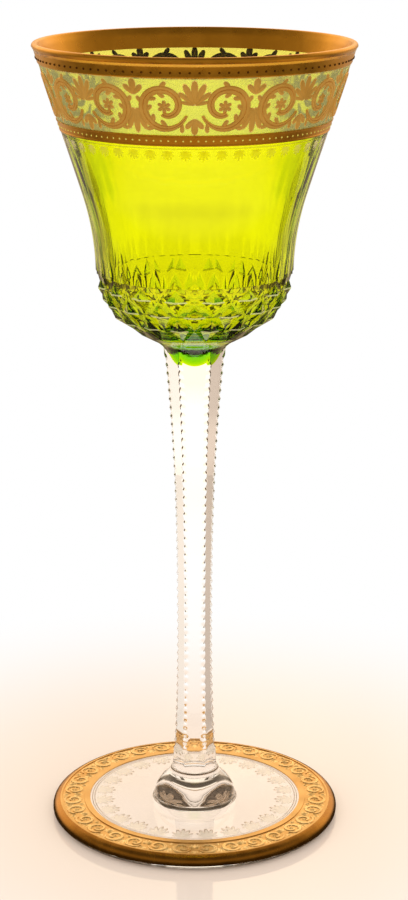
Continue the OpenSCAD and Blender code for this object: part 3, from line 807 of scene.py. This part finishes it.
def volute_panel(bm, place, panel_w, panel_h, stroke, rise):
    """One panel of a border: a leafy volute round a rosette."""
    outer_r = min(panel_w, panel_h) / 2 - stroke / 2 - 0.02 * panel_h
    path = volute_path(outer_r, VOLUTE_EYE * outer_r, VOLUTE_START, VOLUTE_TURN, VOLUTE_STEPS)
    widths = []
    for i in range(VOLUTE_STEPS + 1):
        share = i / VOLUTE_STEPS
        swelling = VOLUTE_TIP_W + (1 - VOLUTE_TIP_W) * min(1, share / VOLUTE_SWELL)
        thinning = 1 - VOLUTE_TAPER * max(0, share - VOLUTE_SWELL) / (1 - VOLUTE_SWELL)
        widths.append(stroke * swelling * thinning)
    ribbon(bm, place, path, widths, rise)
    inward, outward = -32, -130
    leaves = [(step, inward) for step in (6, 10, 14, 18, 22)] + [(step, outward) for step in (2, 9, 16, 23)]
    for step, turn in leaves:
        x, y, heading = path[step]
        leaf = place @ Matrix.Translation((x, y, 0)) @ Matrix.Rotation(heading + math.radians(turn), 4, "Z")
        petal(bm, leaf, 0.5 * outer_r, 0.28 * outer_r, 0.85 * rise)
    fan(bm, place, ROSETTE, 0.3 * outer_r, 0.24 * outer_r, 1.1 * rise)


def volute_border(pairs, panel_w, panel_h, stroke, rise):
    """A flat running border: pairs of facing volutes, with palmettes and trefoils between them."""
    unit = bmesh.new()
    for hand in (1, -1):
        here = Matrix.Translation((hand * panel_w / 2, 0, 0)) @ Matrix.Diagonal((hand, 1, 1, 1))
        volute_panel(unit, here, panel_w, panel_h, stroke, rise)
    for edge, side in ((0, 0), (panel_w, math.pi)):
        stand = Matrix.Translation((edge, 0, 0)) @ Matrix.Rotation(side, 4, "Z")
        root = stand @ Matrix.Translation((0, 0.03 * panel_h, 0))
        fan(unit, root, PALMETTE, 0.45 * panel_h, 0.16 * panel_h, rise)
        hang = stand @ Matrix.Rotation(math.pi, 4, "Z") @ Matrix.Translation((0, 0.2 * panel_h, 0))
        fan(unit, hang, TREFOIL, 0.3 * panel_h, 0.17 * panel_h, rise)
    mesh = bpy.data.meshes.new("border_unit")
    unit.to_mesh(mesh)
    unit.free()
    return repeated(mesh, [Matrix.Translation((2 * panel_w * i, 0, 0)) for i in range(pairs)])


def repeated(mesh, places):
    """A bmesh of one small mesh repeated at each place; the mesh itself is then dropped."""
    bm = bmesh.new()
    for place in places:
        copy = mesh.copy()
        copy.transform(place)
        bm.from_mesh(copy)
        bpy.data.meshes.remove(copy)
    bpy.data.meshes.remove(mesh)
    return bm


def wrap(bm, place):
    """Lays flat ornament onto the glass."""
    for corner in bm.verts:
        corner.co = place(*corner.co)
    return bm


LEAN = wall_lean(OUTSIDE)
FRIEZE_PAIRS = 8
FRIEZE_H = (RIM_GILD_Z - BAND_TOP_Z) / math.cos(LEAN)
FRIEZE_MID_Z = (RIM_GILD_Z + BAND_TOP_Z) / 2
FRIEZE_R = outside_r(FRIEZE_MID_Z)
FRIEZE_STROKE = 2.4 * MM
FRIEZE_RISE = 0.3 * MM


def onto_bowl(u, v, h):
    """From the flat frieze to the bowl's upper wall."""
    z = FRIEZE_MID_Z + v * math.cos(LEAN)
    return around(FRONT + u / FRIEZE_R, wall_r(OUTSIDE, z) + h, z)


FRIEZE_PANEL_W = math.pi * FRIEZE_R / FRIEZE_PAIRS
frieze = volute_border(FRIEZE_PAIRS, FRIEZE_PANEL_W, FRIEZE_H, FRIEZE_STROKE, FRIEZE_RISE)
frieze_finishes = [FRIEZE_GOLD, GOLD_BACK]
finish_piece("scroll_gilding_piece", wrap(frieze, onto_bowl), frieze_finishes,
             "scroll_gilding")

BORDER_PAIRS = 16
BORDER_H = FOOT_R - FOOT_EDGE_R - BORDER_R - BORDER_RING_W - BORDER_LINE_W
BORDER_MID_R = BORDER_R + BORDER_RING_W + BORDER_H / 2
BORDER_STROKE = 1.0 * MM
BORDER_RISE = 0.2 * MM


def foot_top(radius):
    """Height of the foot's upper face at a radius."""
    edge_r = FOOT_R - FOOT_EDGE_R
    return 2 * FOOT_EDGE_R + FOOT_RISE * (edge_r - radius) / (edge_r - DOME_R)


def border_outline():
    """The gold border of the foot: a sunk field between two raised rings, then the round edge."""
    edge_r = FOOT_R - FOOT_EDGE_R
    inner_ring = BORDER_R + BORDER_RING_W
    outer_ring = edge_r - BORDER_LINE_W
    field = [(BORDER_R, -SEATED), (BORDER_R + SEATED, 2 * GILD_T), (inner_ring - SEATED, 2 * GILD_T),
             (inner_ring, 0.6 * GILD_T), (outer_ring, 0.6 * GILD_T), (outer_ring + SEATED, 2 * GILD_T),
             (edge_r, 2 * GILD_T)]
    top = [(radius, foot_top(radius) + proud) for radius, proud in field]
    edge = arc((edge_r, FOOT_EDGE_R), FOOT_EDGE_R + GILD_T, 75, -12, 14)
    back = arc((edge_r, FOOT_EDGE_R), FOOT_EDGE_R - SEATED, -12, 90, 12)
    return top + edge + back


def onto_foot(u, v, h):
    """From the flat border to the foot's upper face."""
    radius = BORDER_MID_R - v
    return around(FRONT + u / BORDER_MID_R, radius, foot_top(radius) + 0.5 * GILD_T + h)


border_ring = turned(border_outline(), True)
# Back faces take the dull back finish; the round outer edge takes the darker gold, which is painted shade
bare_edge = FOOT_R - FOOT_EDGE_R
for face in border_ring.faces:
    middle = face.calc_center_median()
    radius = middle.xy.length
    off_edge = math.hypot(radius - bare_edge, middle.z - FOOT_EDGE_R)
    if (radius < bare_edge and middle.z < foot_top(radius)) or off_edge < FOOT_EDGE_R:
        face.material_index = BORDER_BACK_AT
    elif radius > bare_edge:
        face.material_index = EDGE_AT
border_finishes = [FIELD_GOLD, EDGE_GOLD_PAINTED_SHADE, FOOT_BACK]
finish_piece("foot_gilding_piece", border_ring, border_finishes, "foot_gilding")
BORDER_PANEL_W = math.pi * BORDER_MID_R / BORDER_PAIRS
border = volute_border(BORDER_PAIRS, BORDER_PANEL_W, BORDER_H, BORDER_STROKE, BORDER_RISE)
finish_piece("foot_border_relief", wrap(border, onto_foot), [FOOT_GOLD])


# Beads, bare dots and etched drawing

def bead_row(count, radius, place):
    """A row of small round beads."""
    bead = bmesh.new()
    bmesh.ops.create_uvsphere(bead, u_segments=8, v_segments=5, radius=radius)
    mesh = bpy.data.meshes.new("bead")
    bead.to_mesh(mesh)
    bead.free()
    turns = [FRONT + math.tau * (i + 0.5) / count for i in range(count)]
    return repeated(mesh, [Matrix.Translation(place(turn)) for turn in turns])


def onto_strip(u, v, h):
    """From a flat strip to the bowl's wall below the gilded band."""
    z = BAND_Z + v * math.cos(LEAN)
    turn = FRONT + u / outside_r(BAND_Z)
    wall = flute_corner(around(turn, 1, z), z)
    return around(turn, wall.xy.length + h, z)


def etched_fans(count, pitch, length, width, drop):
    """A flat row of small etched palmettes, hanging from a line."""
    unit = bmesh.new()
    fan(unit, Matrix.Rotation(math.pi, 4, "Z"), PALMETTE, length, width, 0.02 * MM, 0.005 * MM)
    mesh = bpy.data.meshes.new("etched_fan")
    unit.to_mesh(mesh)
    unit.free()
    return repeated(mesh, [Matrix.Translation((pitch * (i + 0.5), -drop, 0)) for i in range(count)])


RIM_BEADS = 108
BEAD_R = 0.3 * MM
BAND_DOTS = 120
DOT_R = 0.26 * MM
BEAD_Z = RIM_GILD_Z + 1.3 * MM
DOT_Z = (BAND_Z + BAND_TOP_Z) / 2
beads = bead_row(RIM_BEADS, BEAD_R, lambda turn: around(turn, on_wall(BEAD_Z, 0.8 * GILD_T)[0], BEAD_Z))
finish_piece("rim_beads", beads, [DULL_GOLD_PAINTED_SHADE])
dots = bead_row(BAND_DOTS, DOT_R, lambda turn: around(turn, on_wall(DOT_Z, 0)[0], DOT_Z))
finish_piece("band_dots", dots, [BARE])
STRIP_FANS = 48
strip_pitch = math.tau * outside_r(BAND_Z) / STRIP_FANS
fans = etched_fans(STRIP_FANS, strip_pitch, length=2.6 * MM, width=0.9 * MM, drop=1.2 * MM)
finish_piece("bowl_etched_fans", wrap(fans, onto_strip), [FAINT])
STRIP_LINE_Z = BAND_Z - 0.6 * MM
strip_line = [(outside_r(STRIP_LINE_Z + up * MM) + proud * MM, STRIP_LINE_Z + up * MM)
              for up, proud in ((-0.15, -0.03), (0, 0.03), (0.15, -0.03))]
finish_piece("bowl_etched_line", turned(strip_line, True), [FAINT])
FOOT_FANS = 24
FOOT_FAN_R = BORDER_R - 1.6 * MM


def onto_plate(u, v, h):
    """From a flat strip to the clear middle of the foot, roots outward."""
    radius = FOOT_FAN_R + v
    return around(FRONT + u / FOOT_FAN_R, radius, foot_top(radius) + h)


foot_pitch = math.tau * FOOT_FAN_R / FOOT_FANS
foot_fans = etched_fans(FOOT_FANS, foot_pitch, length=5.0 * MM, width=1.7 * MM, drop=0)
finish_piece("foot_etched_fans", wrap(foot_fans, onto_plate), [FROSTED])


def etched_ring(radius):
    """A fine etched ring on the foot."""
    half = 0.12 * MM
    z = foot_top(radius)
    return turned([(radius - half, z - SEATED), (radius, z + SEATED), (radius + half, z - SEATED)], True)


for name, inset in (("foot_etched_ring_a", 0.6), ("foot_etched_ring_b", 1.2)):
    finish_piece(name, etched_ring(BORDER_R - inset * MM), [FROSTED])


# Studio

TABLE_R = 0.4
LENS = 88.99
LENS_SHIFT = 0.0104
CAMERA_BACK = 549.95 * MM
CAMERA_Z = 256.55 * MM
CAMERA_TILT = 15.88
GLASS_BOUNCES = 32
# Dark gaps between the panels of light: bearing and half width of each, in degrees, and their soft edge
LIGHT_GAPS = ((26, 4.5), (68, 2), (112, 2), (157, 2))
GAP_SOFT = 3


def studio_world():
    """White backdrop for the eye; panels of light for the glass, and a dimmer front for the metal."""
    world = bpy.data.worlds.new("studio_light")
    bpy.context.scene.world = world
    world.use_nodes = True
    tree = world.node_tree
    tree.nodes.clear()
    path = add(tree, "ShaderNodeLightPath").outputs
    way = add(tree, "ShaderNodeTexCoord").outputs["Generated"]
    parts = add(tree, "ShaderNodeSeparateXYZ", {0: way}).outputs
    bearing = add(tree, "ShaderNodeMath", {0: parts["X"], 1: parts["Y"]}, operation="ARCTAN2").outputs[0]
    low = add(tree, "ShaderNodeMapRange", {
        "Value": parts["Z"], "From Min": 0.08, "From Max": 0.22, "To Min": 1, "To Max": 0},
        interpolation_type="SMOOTHSTEP").outputs["Result"]
    aside = add(tree, "ShaderNodeMath", {0: bearing}, operation="ABSOLUTE").outputs[0]
    above = add(tree, "ShaderNodeMapRange", {
        "Value": parts["Z"], "From Min": 0.45, "From Max": 0.6, "To Min": 0, "To Max": 0.9},
        interpolation_type="SMOOTHSTEP").outputs["Result"]
    sweep = add(tree, "ShaderNodeMath", {0: low, 1: above}, operation="MAXIMUM").outputs[0]
    below = add(tree, "ShaderNodeMapRange", {
        "Value": parts["Z"], "From Min": -0.27, "From Max": -0.235, "To Min": 1, "To Max": 0},
        interpolation_type="SMOOTHSTEP").outputs["Result"]
    for centre, half in LIGHT_GAPS:
        gap = near(tree, aside, centre, half, half + GAP_SOFT, 0, 1)
        gap = add(tree, "ShaderNodeMath", {0: gap, 1: below}, operation="MAXIMUM").outputs[0]
        sweep = add(tree, "ShaderNodeMath", {0: sweep, 1: gap}, operation="MULTIPLY").outputs[0]
    # A gap lower down at each side, for the dark streaks at the sides of the bowl
    shallow = add(tree, "ShaderNodeMapRange", {
        "Value": parts["Z"], "From Min": -0.31, "From Max": -0.27, "To Min": 0, "To Max": 1},
        interpolation_type="SMOOTHSTEP").outputs["Result"]
    edge = near(tree, aside, 32, 7, 11, 0, 1)
    edge = add(tree, "ShaderNodeMath", {0: edge, 1: shallow}, operation="MAXIMUM").outputs[0]
    sweep = add(tree, "ShaderNodeMath", {0: sweep, 1: edge}, operation="MULTIPLY").outputs[0]
    glow = add(tree, "ShaderNodeMapRange", {
        "Value": parts["Z"], "From Min": -0.25, "From Max": -0.21,
        "To Min": 0.87, "To Max": 1.27}).outputs["Result"]
    # The walls bend light, so the top of the bowl sees the lower, brighter part of the panels
    falling = add(tree, "ShaderNodeMapRange", {
        "Value": parts["Z"], "From Min": -0.182, "From Max": -0.16, "To Min": 1.2, "To Max": 1})
    glow = add(tree, "ShaderNodeMath", {
        0: glow, 1: falling.outputs["Result"]}, operation="MULTIPLY").outputs[0]
    through = add(tree, "ShaderNodeMapRange", {"Value": sweep, "To Min": 0.07, "To Max": 1}).outputs["Result"]
    through = add(tree, "ShaderNodeMath", {0: through, 1: glow}, operation="MULTIPLY").outputs[0]
    warmth = add(tree, "ShaderNodeMapRange", {
        "Value": parts["Z"], "From Min": -0.25, "From Max": -0.21,
        "To Min": 0, "To Max": 1}).outputs["Result"]
    panel = add(tree, "ShaderNodeMix", {
        "Factor": warmth, "A": linear("#FFFFFF"), "B": linear("#FFF1DE")}, data_type="RGBA").outputs[2]
    tone = add(tree, "ShaderNodeMix", {
        "Factor": sweep, "A": linear("#E8C49C"),
        "B": backdrop(tree, bearing, panel)}, data_type="RGBA").outputs[2]
    mirrored = mirror_only(tree, path)
    plain = add(tree, "ShaderNodeMix", {
        "Factor": mirrored, "A": linear("#FFFFFF"), "B": linear("#FFE4C0")}, data_type="RGBA").outputs[2]
    tone = add(tree, "ShaderNodeMix", {
        "Factor": path["Is Transmission Ray"], "A": plain, "B": tone}, data_type="RGBA").outputs[2]
    behind = add(tree, "ShaderNodeMapRange", {
        "Value": parts["Y"], "From Min": 0.1, "From Max": 0.85, "To Min": 0.34, "To Max": 1.7},
        interpolation_type="SMOOTHSTEP").outputs["Result"]
    height = add(tree, "ShaderNodeMapRange", {
        "Value": parts["Z"], "From Min": 0.46, "From Max": 0.8, "To Min": 1, "To Max": 0.35},
        interpolation_type="SMOOTHSTEP").outputs["Result"]
    clutter = add(tree, "ShaderNodeTexNoise", {"W": bearing, "Scale": 7, "Detail": 2}, noise_dimensions="1D")
    clutter = add(tree, "ShaderNodeMapRange", {
        "Value": clutter.outputs["Fac"], "From Min": 0.3, "From Max": 0.7, "To Min": 0.75, "To Max": 1.15})
    table = add(tree, "ShaderNodeMapRange", {
        "Value": parts["Z"], "From Min": 0, "From Max": 0.3, "To Min": 0.38, "To Max": 1},
        interpolation_type="SMOOTHSTEP").outputs["Result"]
    gloss = add(tree, "ShaderNodeMath", {0: behind, 1: height}, operation="MULTIPLY").outputs[0]
    gloss = add(tree, "ShaderNodeMath", {0: gloss, 1: table}, operation="MULTIPLY").outputs[0]
    gloss = add(tree, "ShaderNodeMath", {
        0: gloss, 1: clutter.outputs["Result"]}, operation="MULTIPLY").outputs[0]
    level = 1.0
    for seen, strength in ((path["Is Glossy Ray"], gloss), (path["Is Transmission Ray"], through),
                           (path["Is Camera Ray"], 1.0)):
        level = add(tree, "ShaderNodeMix", {"Factor": seen, "A": level, "B": strength}).outputs[0]
    shine = add(tree, "ShaderNodeBackground", {"Color": tone, "Strength": level})
    add(tree, "ShaderNodeOutputWorld", {"Surface": shine.outputs[0]})


def studio_table():
    """The table that the glass stands on."""
    bm = bmesh.new()
    bmesh.ops.create_circle(bm, cap_ends=True, segments=96, radius=TABLE_R)
    mesh = bpy.data.meshes.new("table")
    bm.to_mesh(mesh)
    bm.free()
    mesh.materials.append(studio_floor())
    table = bpy.data.objects.new("table", mesh)
    bpy.context.scene.collection.objects.link(table)


def studio_camera():
    """The camera of the photograph: a long lens a little above the lip."""
    lens = bpy.data.cameras.new("camera")
    lens.lens = LENS
    lens.sensor_width = 36
    lens.shift_x = LENS_SHIFT
    lens.clip_start = 0.01
    camera = bpy.data.objects.new("camera", lens)
    bpy.context.scene.collection.objects.link(camera)
    camera.location = (0, -CAMERA_BACK, CAMERA_Z)
    camera.rotation_euler = (math.radians(90 - CAMERA_TILT), 0, 0)
    bpy.context.scene.camera = camera


studio_world()
studio_table()
studio_camera()
scene = bpy.context.scene
scene.view_settings.view_transform = "Standard"
scene.cycles.max_bounces = GLASS_BOUNCES
scene.cycles.transmission_bounces = GLASS_BOUNCES
scene.cycles.glossy_bounces = GLASS_BOUNCES
scene.cycles.transparent_max_bounces = 16
